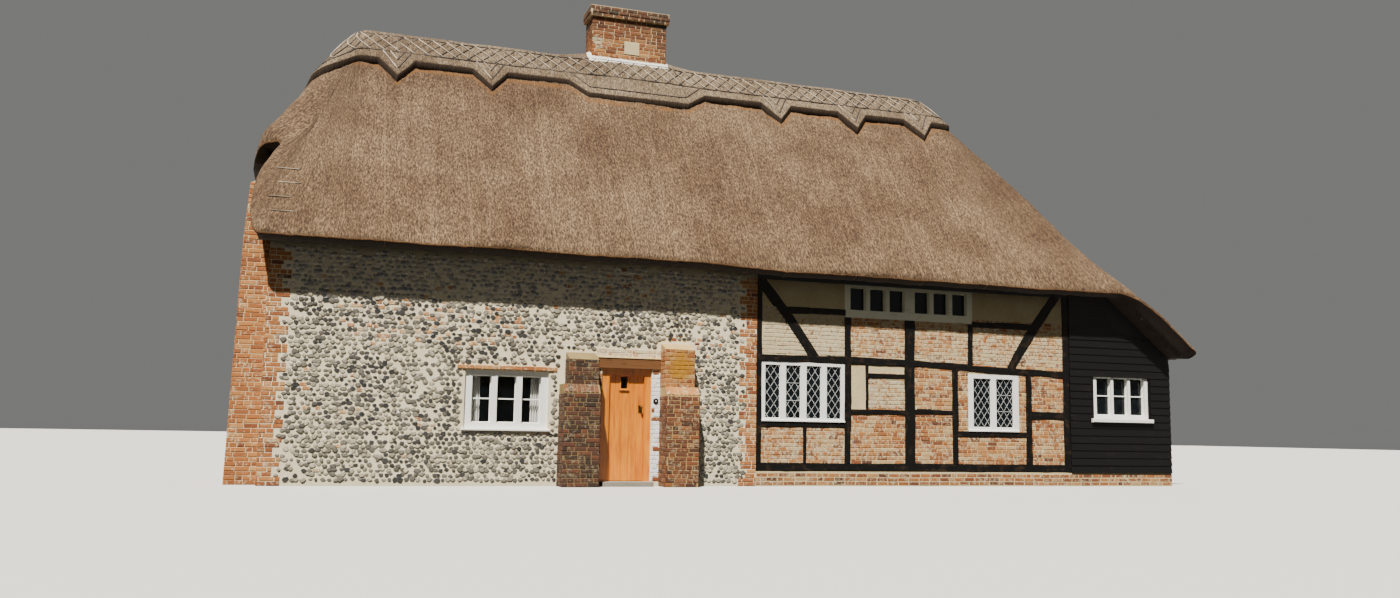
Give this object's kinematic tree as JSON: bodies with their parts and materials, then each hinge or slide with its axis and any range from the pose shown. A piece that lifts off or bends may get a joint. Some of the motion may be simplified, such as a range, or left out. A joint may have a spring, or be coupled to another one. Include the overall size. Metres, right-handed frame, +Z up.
{
  "type": "thatched cottage",
  "caption": "Long low thatched cottage of flint, brick and black timber framing with a weatherboarded outshot, buttresses, chimney and an opening front door.",
  "frame": {"origin": "on the ground under the middle of the cottage's plan", "axes": "+X east along the front, towards the weatherboarded outshot; +Y from the front wall to the back; +Z up"},
  "size_m": [18.7, 6.7, 9.64],
  "materials": {
    "thatch": "combed straw thatch, weathered grey-brown",
    "ridge_thatch": "block-cut straw ridge, paler",
    "flint_walling": "knapped flint and brick bits in wide lime mortar",
    "brickwork": "soft red brick in lime mortar",
    "frame_timber": "black-painted oak",
    "weatherboard": "black-stained boards",
    "oak": "varnished golden oak",
    "lintel_beam": "dark stained beam",
    "white_paint": "white gloss paint",
    "window_glass": "clear glass",
    "stone": "worn stone",
    "floorboards": "plain boards",
    "iron": "black iron",
    "brass": "aged brass",
    "linen": "white linen"
  },
  "bodies": {
    "house": {"thatch_front": "thatch", "thatch_rear": "thatch", "thatch_west_half_hip": "thatch", "thatch_east_hip": "thatch", "ridge_cap": "ridge_thatch", "front_wall_left": "flint_walling", "front_wall_over_door": "flint_walling", "front_wall_right": "flint_walling", "west_gable_wall": "flint_walling", "rear_flint_wall": "flint_walling", "chimney_stack": "brickwork", "gable_buttress": "brickwork", "door_buttress_left": "brickwork", "door_buttress_right": "brickwork", "frame_plinth": "brickwork", "infill_bay_1_upper": "brickwork", "infill_bay_1_lower": "brickwork", "infill_bay_2": "brickwork", "infill_bay_3": "brickwork", "rear_infill": "brickwork", "front_sill_beam": "frame_timber", "front_wall_plate": "frame_timber", "post_west": "frame_timber", "post_left": "frame_timber", "post_middle": "frame_timber", "post_east": "frame_timber", "front_framing": "frame_timber", "front_sill_rail": "frame_timber", "rear_timber_frame": "frame_timber", "outshot_front_wall": "weatherboard", "outshot_rear_wall": "weatherboard", "outshot_east_wall": "weatherboard", "door_frame": "oak", "door_lintel": "lintel_beam", "casement_window_frame": "white_paint", "leaded_window_left_frame": "white_paint", "leaded_window_right_frame": "white_paint", "upper_window_frame": "white_paint", "outshot_window_frame": "white_paint", "rear_casement_window_frame": "white_paint", "rear_leaded_window_frame": "white_paint", "casement_window_glass": "window_glass", "leaded_window_left_glass": "window_glass", "leaded_window_right_glass": "window_glass", "upper_window_glass": "window_glass", "outshot_window_glass": "window_glass", "rear_casement_window_glass": "window_glass", "rear_leaded_window_glass": "window_glass", "doorstep": "stone", "ground_floor": "stone", "upper_floor": "floorboards", "curtain_left": "linen", "curtain_right": "linen"},
    "front_door": {"door_leaf": "oak", "door_pane": "window_glass", "door_latch": "brass", "door_hinge_lower": "iron", "door_hinge_upper": "iron"}
  },
  "joints": [
    {"name": "front_door_hinge", "type": "hinge", "parent": "house", "child": "front_door", "pos_m": [-3.172, -2.7477, 1], "axis": [0, 0, 1], "range_deg": [0, 90]}
  ]
}
